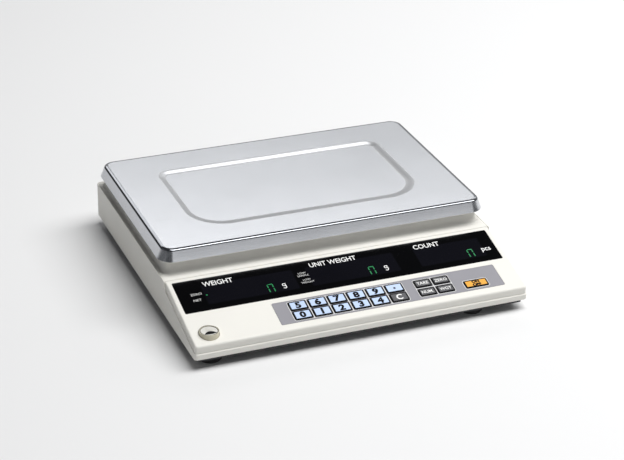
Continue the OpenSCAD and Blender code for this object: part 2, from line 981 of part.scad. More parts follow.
// Cross-shaped casting that carries the platter
module spider() {
    color("#b4b7bb")
    difference() {
        union() {
            translate([0, cell_y, spider_bottom])
                linear_extrude(spider_top - spider_bottom) {
                    round_rect(spider_plate_w, spider_plate_d, 8);
                    for (x = [-1, 1], y = [-1, 1]) spider_arm(x, y);
                }
            translate([cell_bolt_mid, cell_y, spider_boss_bottom])
                linear_extrude(spider_bottom - spider_boss_bottom + eps)
                    round_rect(spacer_w, spacer_d, 3);
        }
        for (x = cell_bolt_x) {
            post(x, cell_y, spider_boss_bottom - 1, spider_top + 1, cell_bolt_r + screw_play);
            post(x, cell_y, seat_z, spider_top + 1, cell_bolt_head_r + screw_play);
        }
        for (x = [-1, 1], y = [-1, 1])
            post(x * cushion_x, cell_y + y * cushion_y, spider_bottom - 1, spider_top + 1,
                cushion_stem_r + 0.1);
        // Lightening window between the arms
        translate([spider_window_x, cell_y, spider_bottom - 1])
            linear_extrude(spider_top - spider_bottom + 2)
                round_rect(spider_window_w, spider_window_d, 6);
    }
}

// Arm from the middle plate to a cushion, drawn in plan
module spider_arm(x, y) {
    run = [cushion_x - spider_arm_x, cushion_y - spider_arm_y];
    translate([x * spider_arm_x, y * spider_arm_y])
        rotate(atan2(y * run[1], x * run[0]))
            translate([0, -spider_arm_w / 2])
                square([norm(run), spider_arm_w]);
    translate([x * cushion_x, y * cushion_y]) circle(spider_eye_r);
}

module pan_cushions() {
    color("#1c1c1e")
    for (x = [-1, 1], y = [-1, 1]) {
        post(x * cushion_x, cell_y + y * cushion_y, spider_top, platter_z - platter_t, cushion_r);
        post(x * cushion_x, cell_y + y * cushion_y, spider_bottom + 0.4, spider_top + eps,
            cushion_stem_r);
    }
}

// Tray block with a bent top edge and a flaring skirt
module platter_block(inset, top) {
    bend = platter_bend - inset;
    bottom = platter_z - platter_h - inset;
    bend_steps = 6;
    w = platter_w / 2 - inset;
    d = platter_d / 2 - inset;
    // Quarter round as offsets from the upright edge and from the top
    arc = [for (i = [0:bend_steps]) bend * [1 - cos(90 * i / bend_steps), 1 - sin(90 * i / bend_steps)]];
    function half(edge) = concat(
        [[edge + platter_flare, bottom]],
        [for (a = arc) [edge - a[0], top - a[1]]]
    );
    function outline(edge) = concat(
        half(edge),
        [for (i = [len(half(edge)) - 1:-1:0]) [-half(edge)[i][0], half(edge)[i][1]]]
    );
    translate([0, platter_mid_y, 0])
        intersection() {
            along_y(-d - 2 * beyond, d + 2 * beyond) polygon(outline(w));
            along_x(2 * w + 4 * beyond) polygon(outline(d));
            linear_extrude(far)
                round_rect(2 * (w + platter_flare), 2 * (d + platter_flare), platter_corner_r - inset);
        }
}

module pressed_panel(inset, bottom, top) {
    translate([0, 0, bottom])
        linear_extrude(top - bottom)
            two_radius_rect(panel_w - 2 * inset, panel_front_y + inset, panel_back_y - inset,
                panel_front_r - inset, panel_back_r - inset);
}

module platter() {
    color("#d4d5d9")
    difference() {
        union() {
            difference() {
                platter_block(0, platter_z);
                platter_block(platter_t, platter_z - platter_t);
            }
            pressed_panel(panel_wall / 2 - platter_t, platter_z - panel_depth - platter_t,
                platter_z - platter_t / 2);
        }
        pressed_panel(panel_wall / 2, platter_z - panel_depth, platter_z + 1);
    }
}

// ---------- Level ----------

module level_cup() {
    color("#b9bcbf")
    difference() {
        post(level_x, level_y, level_top - level_h, level_top, level_r);
        post(level_x, level_y, level_top - level_h + level_wall, level_top + 1, level_r - level_wall);
    }
}

module level_vial() {
    color("#dfe6df")
    post(level_x, level_y, level_top - level_h + level_wall, level_top - 0.4,
        level_r - level_wall - 0.05);
}

// ---------- Feet ----------

module foot_pad(i) {
    color("#171718")
    translate([feet[i][0], feet[i][1], 0])
        rotate_extrude()
            polygon([
                [0, 0], [foot_d / 2 - 2, 0], [foot_d / 2, 2], [foot_d / 2, foot_h - 1],
                [foot_d / 2 - 1, foot_h], [0, foot_h]
            ]);
}

module foot_stud(i) {
    color("silver")
    post(feet[i][0], feet[i][1], foot_h, stud_top, stud_r);
}

lower_housing();
chassis_tray();
cell_mount_plate();
foot_nuts();
top_cover();
cover_screws();
display_window();
display_board();
weight_tube();
unit_weight_tube();
count_tube();
keypad_panel();
keypad_board();
key_switches();
main_board();
board_parts();
heat_sink();
board_standoffs();
board_screws();
dc_jack();
display_ribbon();
keypad_ribbon();
load_cell();
cell_spacer_lower();
cell_bolts_lower();
load_cell_cable();
overload_stops();
level_cup();
level_vial();
spider();
cell_spacer_upper();
cell_bolts_upper();
pan_cushions();
platter();
key(0, "#c5d6f2");  // key_0
key(1, "#c5d6f2");  // key_1
key(2, "#c5d6f2");  // key_2
key(3, "#c5d6f2");  // key_3
key(4, "#c5d6f2");  // key_4
key(5, "#c5d6f2");  // key_5
key(6, "#c5d6f2");  // key_6
key(7, "#c5d6f2");  // key_7
key(8, "#c5d6f2");  // key_8
key(9, "#c5d6f2");  // key_9
key(10, "#c5d6f2");  // key_point
key(11, "#58585a");  // key_clear
key(12, "#58585a");  // key_tare
key(13, "#58585a");  // key_zero
key(14, "#58585a");  // key_number
key(15, "#58585a");  // key_weight
key(16, "#e8a93c");  // key_power
foot_pad(0);  // foot_pad_front_left
foot_pad(1);  // foot_pad_front_right
foot_pad(2);  // foot_pad_rear_left
foot_pad(3);  // foot_pad_rear_right
foot_stud(0);  // foot_stud_front_left
foot_stud(1);  // foot_stud_front_right
foot_stud(2);  // foot_stud_rear_left
foot_stud(3);  // foot_stud_rear_right
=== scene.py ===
"""Looks of the counting scale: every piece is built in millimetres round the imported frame."""

import math

import bmesh
import bpy
from mathutils import Matrix, Vector, geometry


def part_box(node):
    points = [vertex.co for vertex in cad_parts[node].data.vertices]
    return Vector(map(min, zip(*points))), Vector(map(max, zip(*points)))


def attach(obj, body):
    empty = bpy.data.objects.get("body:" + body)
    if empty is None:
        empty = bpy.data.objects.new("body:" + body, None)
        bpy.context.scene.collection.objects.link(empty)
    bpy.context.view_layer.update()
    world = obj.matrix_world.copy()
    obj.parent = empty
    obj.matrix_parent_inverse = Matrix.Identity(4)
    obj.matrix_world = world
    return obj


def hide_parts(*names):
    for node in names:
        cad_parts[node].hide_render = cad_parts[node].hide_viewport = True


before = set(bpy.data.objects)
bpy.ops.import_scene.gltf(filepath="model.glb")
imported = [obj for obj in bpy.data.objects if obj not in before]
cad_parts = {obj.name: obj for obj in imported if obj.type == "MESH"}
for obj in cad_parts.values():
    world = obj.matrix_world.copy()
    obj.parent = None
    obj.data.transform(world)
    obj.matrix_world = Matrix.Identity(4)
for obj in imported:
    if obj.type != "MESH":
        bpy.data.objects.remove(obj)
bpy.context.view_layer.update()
MM = 0.001

# ---------------------------------------------------------------- frame sizes


def box_mm(node):
    """Lowest corner, highest corner and middle of a node, in millimetres."""
    low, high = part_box(node)
    return low / MM, high / MM, (low + high) / 2 / MM


BODY_LOW, BODY_HIGH, _ = box_mm("lower_housing")
COVER_LOW, COVER_HIGH, _ = box_mm("top_cover")
HALF_W, HALF_D = BODY_HIGH.x, BODY_HIGH.y
BASE_Z, SHOULDER_Z, DECK_Z = BODY_LOW.z, BODY_HIGH.z, COVER_HIGH.z
COVER_W, COVER_D = COVER_HIGH.x, COVER_HIGH.y
CONSOLE_Y = COVER_LOW.y
BEND_Y = -67.0
CONSOLE_Z = 25.1
ANGLE = math.atan2(SHOULDER_Z - CONSOLE_Z, BEND_Y - CONSOLE_Y)
STEP_DROP = 7.7
WELL_Z = 61.5


def slope_z(y):
    """Height of the console's plane above a point."""
    return CONSOLE_Z + (y - CONSOLE_Y) * math.tan(ANGLE)


def con(p, n=0.0):
    """Point on the console from x, distance up the slope and height along its normal."""
    x, s = p
    return (
        x,
        CONSOLE_Y + s * math.cos(ANGLE) - n * math.sin(ANGLE),
        CONSOLE_Z + s * math.sin(ANGLE) + n * math.cos(ANGLE),
    )


def to_console(point):
    """x, distance up the slope and height along the normal of a point in millimetres."""
    y, z = point.y - CONSOLE_Y, point.z - CONSOLE_Z
    return (
        point.x,
        y * math.cos(ANGLE) + z * math.sin(ANGLE),
        z * math.cos(ANGLE) - y * math.sin(ANGLE),
    )


def level_at(p, n=0.0):
    """Point on a horizontal plane."""
    return (p[0], p[1], n)


# ---------------------------------------------------------------- mesh tools


MERGE_WITHIN, TINY_EDGE = 2e-6, 1e-7


class Piece:
    """Faces collected in millimetres, then made into one object."""

    def __init__(self):
        self.points, self.faces, self.slots = [], [], []

    def put(self, points, faces, slot=0):
        base = len(self.points)
        self.points.extend(points)
        for face in faces:
            self.faces.append([base + i for i in face])
            self.slots.append(slot)

    def rows(self, rows, closed=True, slot=0):
        """Quads between rows of equal length."""
        n = len(rows[0])
        faces = []
        for j in range(len(rows) - 1):
            for i in range(n if closed else n - 1):
                k = (i + 1) % n
                faces.append((j * n + i, j * n + k, (j + 1) * n + k, (j + 1) * n + i))
        self.put([p for row in rows for p in row], faces, slot)

    def fill(self, loops, place, slot=0):
        """Flat region inside the first loop and outside the others."""
        flat = [[Vector((p[0], p[1], 0)) for p in loop] for loop in loops]
        faces = geometry.tessellate_polygon(flat)
        self.put([place(p) for loop in loops for p in loop], faces, slot)

    def make(self, name, body, mats, replaces=(), angle=35, thick=0.0, upright=False):
        mesh = bpy.data.meshes.new(name)
        mesh.from_pydata([tuple(c * MM for c in p) for p in self.points], [], self.faces)
        for mat in mats:
            mesh.materials.append(mat)
        mesh.polygons.foreach_set("material_index", self.slots)
        shape = bmesh.new()
        shape.from_mesh(mesh)
        if not upright:
            bmesh.ops.remove_doubles(shape, verts=shape.verts, dist=MERGE_WITHIN)
            bmesh.ops.dissolve_degenerate(shape, edges=shape.edges, dist=TINY_EDGE)
            bmesh.ops.recalc_face_normals(shape, faces=shape.faces)
        shape.to_mesh(mesh)
        shape.free()
        mesh.shade_smooth()
        mesh.set_sharp_from_angle(angle=math.radians(angle))
        made = bpy.data.objects.new(name, mesh)
        bpy.context.scene.collection.objects.link(made)
        if thick:
            shell = made.modifiers.new("wall", "SOLIDIFY")
            shell.thickness = thick * MM
            shell.offset = -1
            shell.use_even_offset = True
        if not upright:
            even = made.modifiers.new("even", "WEIGHTED_NORMAL")
            even.keep_sharp = True
        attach(made, body)
        if replaces:
            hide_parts(*replaces)
        return made


def arc(cx, cy, r, start, sweep, steps):
    return [
        (
            cx + r * math.cos(math.radians(start + sweep * k / steps)),
            cy + r * math.sin(math.radians(start + sweep * k / steps)),
        )
        for k in range(steps + 1)
    ]


def round_loop(cx, cy, w, h, r, steps=6):
    """Loop function of a round-cornered rectangle: takes how far the loop moves outward."""

    def loop(off=0.0):
        rad = max(r + off, 0.05)
        a, b = w / 2 + off - rad, h / 2 + off - rad
        return (
            arc(cx + a, cy - b, rad, -90, 90, steps)
            + arc(cx + a, cy + b, rad, 0, 90, steps)
            + arc(cx - a, cy + b, rad, 90, 90, steps)
            + arc(cx - a, cy - b, rad, 180, 90, steps)
        )

    return loop


def ring_loop(cx, cy, r, steps=48):
    return lambda off=0.0: arc(cx, cy, r + off, 0, 360, steps)[:-1]


def edge_rows(loop, top, bottom, edge, place, sign=1, steps=4):
    """Rows over a rounded edge and down a wall. sign is 1 round a plate, -1 round a hole."""
    rows = []
    for k in range(steps + 1):
        a = math.pi / 2 * k / steps
        n = top - edge * (1 - math.cos(a))
        rows.append([place(p, n) for p in loop(-sign * edge * (1 - math.sin(a)))])
    rows.append([place(p, bottom) for p in loop(0)])
    return rows


def plate(piece, outline, top, bottom, edge, place, holes=()):
    """Plate with rounded upper edges, also round its holes."""
    piece.rows(edge_rows(outline, top, bottom, edge, place))
    for hole in holes:
        piece.rows(edge_rows(hole, top, bottom, edge, place, -1))
    piece.fill([outline(-edge)] + [h(edge) for h in holes], lambda p: place(p, top))
    piece.fill([outline(0)] + [h(0) for h in holes], lambda p: place(p, bottom))


AXIS_R = 0.01


def lathe(piece, profile, cx, cy, steps=64, wobble=None):
    """Turned shape from (radius, z) pairs; an end at the axis closes in a tiny ring."""
    rows = []
    for r, z in profile:
        row = []
        for k in range(steps):
            a = 2 * math.pi * k / steps
            rr = max(r, AXIS_R) * (wobble(a, z) if wobble else 1)
            row.append((cx + rr * math.cos(a), cy + rr * math.sin(a), z))
        rows.append(row)
    piece.rows(rows)


def thread(piece, cx, cy, low, high, r, pitch=1.25, depth=0.45, plain=1.2, steps=24):
    """Threaded rod with plain rounded ends."""
    count = int((high - low) / pitch * 6)
    rows = [[(cx, cy, low)] * steps]
    for j in range(count + 1):
        z = low + (high - low) * j / count
        end = min(1.0, (z - low) / plain, (high - z) / plain)
        row = []
        for k in range(steps):
            t = (z / pitch - k / steps) % 1.0
            cut = depth * (1 - abs(2 * t - 1)) if end >= 1 else depth
            rr = r - cut * 0.98
            row.append((cx + rr * math.cos(2 * math.pi * k / steps),
                        cy + rr * math.sin(2 * math.pi * k / steps), z))
        rows.append(row)
    rows.append([(cx, cy, high)] * steps)
    piece.rows(rows)


def letters(piece, text, x, y, size, place, weight=0.0, stretch=1.0, lift=0.0):
    """Flat generic lettering centred at x, y of a plane."""
    curve = bpy.data.curves.new("type", "FONT")
    curve.body, curve.size, curve.offset = text, size, weight
    curve.align_x, curve.align_y = "CENTER", "CENTER"
    curve.resolution_u = 3
    holder = bpy.data.objects.new("type", curve)
    bpy.context.scene.collection.objects.link(holder)
    bpy.context.view_layer.update()
    ready = holder.evaluated_get(bpy.context.evaluated_depsgraph_get())
    mesh = bpy.data.meshes.new_from_object(ready)
    xs = [v.co.x for v in mesh.vertices]
    ys = [v.co.y for v in mesh.vertices]
    mid_x, mid_y = (min(xs) + max(xs)) / 2, (min(ys) + max(ys)) / 2
    points = [place((x + (v.co.x - mid_x) * stretch, y + v.co.y - mid_y), lift) for v in mesh.vertices]
    piece.put(points, [tuple(p.vertices) for p in mesh.polygons])
    bpy.data.objects.remove(holder)
    bpy.data.curves.remove(curve)
    bpy.data.meshes.remove(mesh)


def band(piece, loop, width, place, lift):
    """Printed line that follows a loop function, inside it."""
    piece.rows([[place(p, lift) for p in loop(0)], [place(p, lift) for p in loop(-width)]])


def patch(piece, points, place, lift):
    """Flat printed polygon, counter-clockwise."""
    piece.put([place(p, lift) for p in points], [tuple(range(len(points)))])


def bar(x0, y0, x1, y1):
    return [(x0, y0), (x1, y0), (x1, y1), (x0, y1)]


# ---------------------------------------------------------------- materials


def srgb(r, g, b):
    return tuple(
        c / 255 / 12.92 if c <= 10 else ((c / 255 + 0.055) / 1.055) ** 2.4 for c in (r, g, b)
    )


DUST_SCALE, STREAK_SCALE, SMEAR_SCALE = 420.0, 36.0, 60.0
DUST_FROM, DUST_TO = 0.62, 0.8
COAT_ROUGH = 0.06
GRAIN_DEPTH = 0.0001


def finish_of(name, colour, rough, metal=0.0, drift=0.04, blotch=14.0, spread=0.05, grain=0.0,
              grain_scale=1800.0, stretch=None, coat=0.0, speck=0.0, glow=0.0, ior=1.5):
    """Procedural finish: slow colour and roughness drift, fine grain, and light dust or specks."""
    mat = bpy.data.materials.new(name)
    mat.use_nodes = True
    tree = mat.node_tree
    shader = tree.nodes["Principled BSDF"]
    where = tree.nodes.new("ShaderNodeTexCoord").outputs["Object"]

    def noise(scale, detail, stretched=None):
        node = tree.nodes.new("ShaderNodeTexNoise")
        node.inputs["Scale"].default_value = scale
        node.inputs["Detail"].default_value = detail
        source = where
        if stretched:
            mapping = tree.nodes.new("ShaderNodeMapping")
            mapping.inputs["Scale"].default_value = stretched
            tree.links.new(where, mapping.inputs["Vector"])
            source = mapping.outputs["Vector"]
        tree.links.new(source, node.inputs["Vector"])
        return node.outputs["Fac"]

    def blend(factor, low, high):
        node = tree.nodes.new("ShaderNodeMix")
        node.data_type = "RGBA"
        tree.links.new(factor, node.inputs[0])
        for index, value in ((6, low), (7, high)):
            if isinstance(value, tuple):
                node.inputs[index].default_value = (*value, 1)
            else:
                tree.links.new(value, node.inputs[index])
        return node.outputs[2]

    def span(factor, low, high, start=0.3, end=0.7):
        node = tree.nodes.new("ShaderNodeMapRange")
        for key, value in (("From Min", start), ("From Max", end), ("To Min", low), ("To Max", high)):
            node.inputs[key].default_value = value
        tree.links.new(factor, node.inputs["Value"])
        return node.outputs["Result"]

    dark = tuple(c * (1 - drift) for c in colour)
    light = tuple(min(1.0, c * (1 + drift)) for c in colour)
    shade = blend(span(noise(blotch, 4.0), 0.0, 1.0), dark, light)
    if speck:
        dust = span(noise(DUST_SCALE, 2.0), 0.0, speck, DUST_FROM, DUST_TO)
        shade = blend(dust, shade, tuple(min(1.0, c * 0.4 + 0.32) for c in colour))
    tree.links.new(shade, shader.inputs["Base Color"])
    low, high = max(0.02, rough - spread), min(1.0, rough + spread)
    source = noise(STREAK_SCALE, 5.0, stretch) if stretch else noise(SMEAR_SCALE, 5.0)
    tree.links.new(span(source, low, high), shader.inputs["Roughness"])
    shader.inputs["Metallic"].default_value = metal
    shader.inputs["IOR"].default_value = ior
    shader.inputs["Coat Weight"].default_value = coat
    shader.inputs["Coat Roughness"].default_value = COAT_ROUGH
    if glow:
        shader.inputs["Emission Color"].default_value = (*colour, 1)
        shader.inputs["Emission Strength"].default_value = glow
    if grain:
        bump = tree.nodes.new("ShaderNodeBump")
        bump.inputs["Strength"].default_value = grain
        bump.inputs["Distance"].default_value = GRAIN_DEPTH
        tree.links.new(noise(grain_scale, 3.0, stretch), bump.inputs["Height"])
        tree.links.new(bump.outputs["Normal"], shader.inputs["Normal"])
    return mat


IVORY = finish_of("moulded_ivory", srgb(229, 227, 220), 0.5, drift=0.018, grain=0.35, grain_scale=2600)
STEEL = finish_of("drawn_stainless", srgb(205, 207, 211), 0.24, 1.0, drift=0.03, spread=0.03,
                  grain=0.05, grain_scale=60, stretch=(1.0, 38.0, 1.0))
STEEL_PRESS = finish_of("drawn_stainless_press", srgb(198, 199, 201), 0.47, 1.0, drift=0.03, spread=0.03,
                       grain=0.05, grain_scale=60, stretch=(1.0, 38.0, 1.0))
# Painted shade: the bend's steel is a darker copy of the top's steel, which dims the highlight round the bend
# and paints a dark line along it
STEEL_BEND_PAINTED_SHADE = finish_of("drawn_stainless_bend_painted_shade", srgb(146, 148, 152), 0.12, 1.0, drift=0.03, spread=0.02)
GLOSS_BLACK = finish_of("window_acrylic", srgb(3, 3, 4), 0.09, drift=0.12, spread=0.02, ior=1.33)
TUBE_GHOST = finish_of("tube_behind_window", srgb(11, 11, 17), 0.1, drift=0.15, spread=0.02, ior=1.33)
GREEN = finish_of("display_green", srgb(18, 120, 66), 0.35, drift=0.06, glow=0.16)
PRINT_WHITE = finish_of("print_white", srgb(236, 236, 234), 0.45, drift=0.03)
PRINT_BLACK = finish_of("print_black", srgb(5, 5, 7), 0.65, drift=0.1, ior=1.25)
PANEL_GREY = finish_of("keypad_grey", srgb(142, 141, 147), 0.5, drift=0.03, grain=0.3, grain_scale=3200)
KEY_BLUE = finish_of("key_blue", srgb(192, 211, 243), 0.42, drift=0.025, grain=0.2, grain_scale=3200)
KEY_DARK = finish_of("key_dark", srgb(82, 82, 85), 0.42, drift=0.05, grain=0.2, grain_scale=3200)
KEY_ORANGE = finish_of("key_orange", srgb(236, 168, 52), 0.42, drift=0.04, grain=0.2, grain_scale=3200)
RUBBER = finish_of("foot_rubber", srgb(26, 26, 28), 0.82, drift=0.12, grain=0.6, grain_scale=2200, speck=0.1)
ZINC = finish_of("zinc_plate", srgb(196, 198, 194), 0.3, 1.0, drift=0.06, blotch=160, spread=0.1,
                 grain=0.15, grain_scale=900)
POWDER = finish_of("black_powder_coat", srgb(33, 34, 37), 0.55, drift=0.1, grain=0.8, grain_scale=1500,
                   speck=0.06)
BLACK_PLASTIC = finish_of("black_plastic", srgb(30, 31, 34), 0.42, drift=0.08, grain=0.3, speck=0.04)
BLACK_ALU = finish_of("black_anodised", srgb(52, 54, 58), 0.4, 0.8, drift=0.08, grain=0.2,
                      stretch=(1.0, 1.0, 30.0), grain_scale=60)
BRASS = finish_of("brass", srgb(206, 170, 96), 0.28, 1.0, drift=0.08, blotch=120, grain=0.1)
BOARD = finish_of("circuit_board", srgb(22, 92, 52), 0.35, drift=0.14, blotch=90, coat=0.3, grain=0.15,
                  grain_scale=700)
GLASS_TUBE = finish_of("display_glass", srgb(44, 58, 60), 0.1, drift=0.15, coat=0.6)
RIBBON = finish_of("ribbon_grey", srgb(176, 178, 180), 0.5, drift=0.05, grain=0.5, grain_scale=40,
                   stretch=(22.0, 1.0, 1.0))
CELL_ALU = finish_of("cell_aluminium", srgb(206, 209, 212), 0.34, 1.0, drift=0.05, spread=0.1, grain=0.2,
                     grain_scale=60, stretch=(1.0, 30.0, 30.0))
BLACK_BOLT = finish_of("black_oxide", srgb(58, 58, 60), 0.36, 0.9, drift=0.15, blotch=200)
CABLE = finish_of("cable_rubber", srgb(48, 49, 53), 0.6, drift=0.08, grain=0.3)
CAST = finish_of("cast_aluminium", srgb(180, 183, 186), 0.5, 0.9, drift=0.08, spread=0.12, grain=0.9,
                 grain_scale=750, speck=0.08)
CUP = finish_of("level_ring", srgb(206, 200, 178), 0.22, drift=0.05, grain=0.1, coat=0.5)
LIQUID = finish_of("level_liquid", srgb(198, 196, 188), 0.2, drift=0.04, spread=0.04, coat=0.2)

KEEP = {
    "chassis_tray": POWDER, "cell_mount_plate": ZINC, "foot_nuts": ZINC, "cover_screws": ZINC,
    "display_board": BOARD, "weight_tube": GLASS_TUBE, "unit_weight_tube": GLASS_TUBE,
    "count_tube": GLASS_TUBE, "keypad_board": BOARD, "key_switches": BLACK_PLASTIC,
    "main_board": BOARD, "board_parts": BLACK_PLASTIC, "heat_sink": BLACK_ALU,
    "board_standoffs": BRASS, "board_screws": ZINC, "dc_jack": BLACK_PLASTIC,
    "display_ribbon": RIBBON, "keypad_ribbon": RIBBON, "load_cell": CELL_ALU,
    "cell_spacer_lower": ZINC, "cell_bolts_lower": BLACK_BOLT, "load_cell_cable": CABLE,
    "overload_stops": ZINC, "spider": CAST, "cell_spacer_upper": ZINC,
    "cell_bolts_upper": BLACK_BOLT, "pan_cushions": RUBBER,
}
for node, mat in KEEP.items():
    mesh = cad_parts[node].data
    mesh.materials.clear()
    mesh.materials.append(mat)

# ---------------------------------------------------------------- lower housing


CORNER_STEPS = 8
EDGE_STEPS = 5
CONSOLE_YS = (-140, -120, -100, -80)
DECK_YS = (-60, -20, 30, 80, 140)


def outline(half_w, half_d, radius, samples, front, back, inset):
    """Points round the housing as (x, y, values); samples lie along both sides."""
    points = []

    def corner(side, end, start, values):
        put_in = inset(values(end * half_d))
        r = max(radius - put_in, 0.3)
        cx, cy = side * (half_w - put_in - r), end * (half_d - put_in - r)
        for x, y in arc(cx, cy, r, start, 90, CORNER_STEPS):
            points.append((x, y, values(y)))

    corner(1, -1, -90, front)
    points.extend((half_w - inset(s[1:]), s[0], s[1:]) for s in samples)
    corner(1, 1, 0, back)
    corner(-1, 1, 90, back)
    points.extend((-half_w + inset(s[1:]), s[0], s[1:]) for s in reversed(samples))
    corner(-1, -1, 180, front)
    return points


def step_z(y):
    return slope_z(y) - STEP_DROP


RIM_Y = -70.5
TURN_R = 4.0
TURN_STEPS = 6
BODY_CORNER_R = 4.0
RABBET_Z, RABBET_DROP = 44.0, 0.3
LEDGE_R, RIM_R = 1.05, 0.45
WALL, LEDGE_IN, FLANGE_IN = 3, 1.06, 14
low_samples = [(y, step_z(y), step_z(y) - RABBET_DROP, LEDGE_R) for y in CONSOLE_YS]
for k in range(TURN_STEPS + 1):
    a = math.pi / 2 * k / TURN_STEPS
    y = RIM_Y - TURN_R + TURN_R * math.sin(a)
    z = step_z(y) + TURN_R * (1 - math.cos(a))
    low_samples.append((y, z, z - RABBET_DROP, LEDGE_R))
low_samples += [(RIM_Y + back, SHOULDER_Z - down, RABBET_Z, RIM_R)
                for back, down in ((0, 0.7), (0.2, 0.2), (0.7, 0))]
low_samples += [(y, SHOULDER_Z, RABBET_Z, RIM_R) for y in DECK_YS]


def lower_row(inset, z):
    pts = outline(
        HALF_W, HALF_D, BODY_CORNER_R, low_samples,
        lambda y: (step_z(y), step_z(y) - RABBET_DROP, LEDGE_R),
        lambda y: (SHOULDER_Z, RABBET_Z, RIM_R), inset)
    return [(x, y, z(v)) for x, y, v in pts]


def fixed(value):
    """Inset or height that is the same all round the housing."""
    return lambda v: value


def rim_z(v):
    return v[0]


def rabbet_z(v):
    return v[1]


shell = Piece()
FLANGE_TOP = BASE_Z + 2.5
section = [(fixed(FLANGE_IN), fixed(BASE_Z))]
section += [(fixed(d), fixed(BASE_Z + z)) for d, z in ((0.9, 0), (0.45, 0.12), (0.12, 0.45), (0, 0.9))]
for k in range(EDGE_STEPS + 1):
    a = math.pi / 2 * k / EDGE_STEPS
    section.append((lambda v, a=a: v[2] * (1 - math.cos(a)), lambda v, a=a: v[0] - v[2] * (1 - math.sin(a))))
section += [(fixed(LEDGE_IN), rim_z), (fixed(LEDGE_IN), rabbet_z), (fixed(WALL), rabbet_z),
            (fixed(WALL), fixed(FLANGE_TOP)), (fixed(FLANGE_IN), fixed(FLANGE_TOP)),
            (fixed(FLANGE_IN), fixed(BASE_Z))]
shell.rows([lower_row(inset, z) for inset, z in section])
lower = shell.make("housing_shell", "housing", [IVORY], ["lower_housing"])

# Opening for the power socket in the back wall
_, jack_high, jack_mid = box_mm("dc_jack")
JACK_HOLE_R, DRILL_LENGTH = 7.7, 12
bpy.ops.mesh.primitive_cylinder_add(vertices=64, radius=JACK_HOLE_R * MM, depth=DRILL_LENGTH * MM)
drill = bpy.context.object
drill.matrix_world = Matrix.Translation(
    Vector((jack_mid.x, jack_high.y, jack_mid.z)) * MM) @ Matrix.Rotation(math.pi / 2, 4, "X")
cut = lower.modifiers.new("socket", "BOOLEAN")
cut.object, cut.solver = drill, "EXACT"
bpy.context.view_layer.update()
cut_mesh = bpy.data.meshes.new_from_object(lower.evaluated_get(bpy.context.evaluated_depsgraph_get()))
lower.modifiers.clear()
lower.data = cut_mesh
bpy.data.objects.remove(drill)
even = lower.modifiers.new("even", "WEIGHTED_NORMAL")
even.keep_sharp = True

# ---------------------------------------------------------------- top cover

EDGE = 1.8
SEAM = 0.45
# Where the wide edge along the console starts to narrow to the seam's, and over what distance
NARROW_Y, NARROW_RUN = -71, 2.5
COVER_CORNER_R = 3.0
COVER_FOOT_Z, FOOT_DROP = 44.2, 1.5
COVER_WALL = 1.9
GROOVE_Y = (-69.55, -69.4, -69.35, -68.95, -68.9, -68.75)
GROOVE_Z = (0, 0.2, 0.8, 0.8, 0.2, 0)
BEND_HALF = 1.5


def cover_top(y):
    if y < BEND_Y - BEND_HALF:
        return slope_z(y)
    if y > BEND_Y + BEND_HALF:
        return SHOULDER_Z
    rest = BEND_Y + BEND_HALF - y
    return SHOULDER_Z - math.tan(ANGLE) * rest * rest / (4 * BEND_HALF)


def edge_at(y):
    t = min(1.0, max(0.0, (y - NARROW_Y) / NARROW_RUN))
    return EDGE + (SEAM - EDGE) * t


def foot_at(y):
    return slope_z(y) - STEP_DROP - FOOT_DROP if y < RIM_Y else COVER_FOOT_Z


top_samples = [(y, slope_z(y)) for y in (*CONSOLE_YS, NARROW_Y)]
groove_at = len(top_samples)
top_samples += [(y, slope_z(y) - z) for y, z in zip(GROOVE_Y, GROOVE_Z)]
BEND_SAMPLES = [BEND_Y - BEND_HALF + BEND_HALF * k / 4 for k in range(9)]
top_samples += [(y, cover_top(y)) for y in BEND_SAMPLES]
top_samples += [(y, SHOULDER_Z) for y in DECK_YS]
top_samples = [(y, z, edge_at(y), foot_at(y)) for y, z in top_samples]


def cover_row(k=None):
    """Row at the wall's foot, or at one step over the rounded edge."""
    a = 0 if k is None else math.pi / 2 * k / EDGE_STEPS
    pts = outline(
        COVER_W, COVER_D, COVER_CORNER_R, top_samples,
        lambda y: (cover_top(y), EDGE, foot_at(y)), lambda y: (SHOULDER_Z, SEAM, COVER_FOOT_Z),
        lambda v: v[1] * (1 - math.cos(a)))
    if k is None:
        return [(x, y, v[2]) for x, y, v in pts]
    return [(x, y, v[0] - v[1] * (1 - math.sin(a))) for x, y, v in pts]


cover = Piece()
cover_rows = [cover_row()] + [cover_row(k) for k in range(EDGE_STEPS + 1)]
cover.rows(cover_rows)
inner = cover_rows[-1]
count = len(top_samples)
right_at = CORNER_STEPS + 1
left_at = 3 * (CORNER_STEPS + 1) + count
right = inner[right_at:right_at + count]
left = list(reversed(inner[left_at:left_at + count]))
bend_end = groove_at + len(GROOVE_Y) + len(BEND_SAMPLES) - 1
cover.rows([[right[i], left[i]] for i in range(groove_at, bend_end + 1)], closed=False)

_, _, window_mid = box_mm("display_window")
_, _, panel_mid = box_mm("keypad_panel")
window_s = to_console(window_mid)[1]
panel_x, panel_s = to_console(panel_mid)[:2]
WINDOW, WINDOW_OPENING, WINDOW_DEPTH = (336.8, 44.0), (312, 28), 1.25
PANEL, PANEL_OPENING, PANEL_DEPTH = (237.4, 30.2), (218, 27.5), 0.85
PANEL_OPENING_X = -1
POCKET_R, OPENING_R, PANE_R = 1.5, 2, 1.3
CONSOLE_UNDER = -2.4
SOFT_EDGE = 0.3
GAP, LEVEL_GAP = 0.2, 0.35
_, cup_high, cup_mid = box_mm("level_cup")
CUP_R = cup_high.x - cup_mid.x
LEVEL_WALL = 6


def level_hole(off=0.0):
    return [(x, (y - CONSOLE_Y) / math.cos(ANGLE))
            for x, y in arc(cup_mid.x, cup_mid.y, CUP_R + LEVEL_GAP + off, 0, 360, 64)[:-1]]


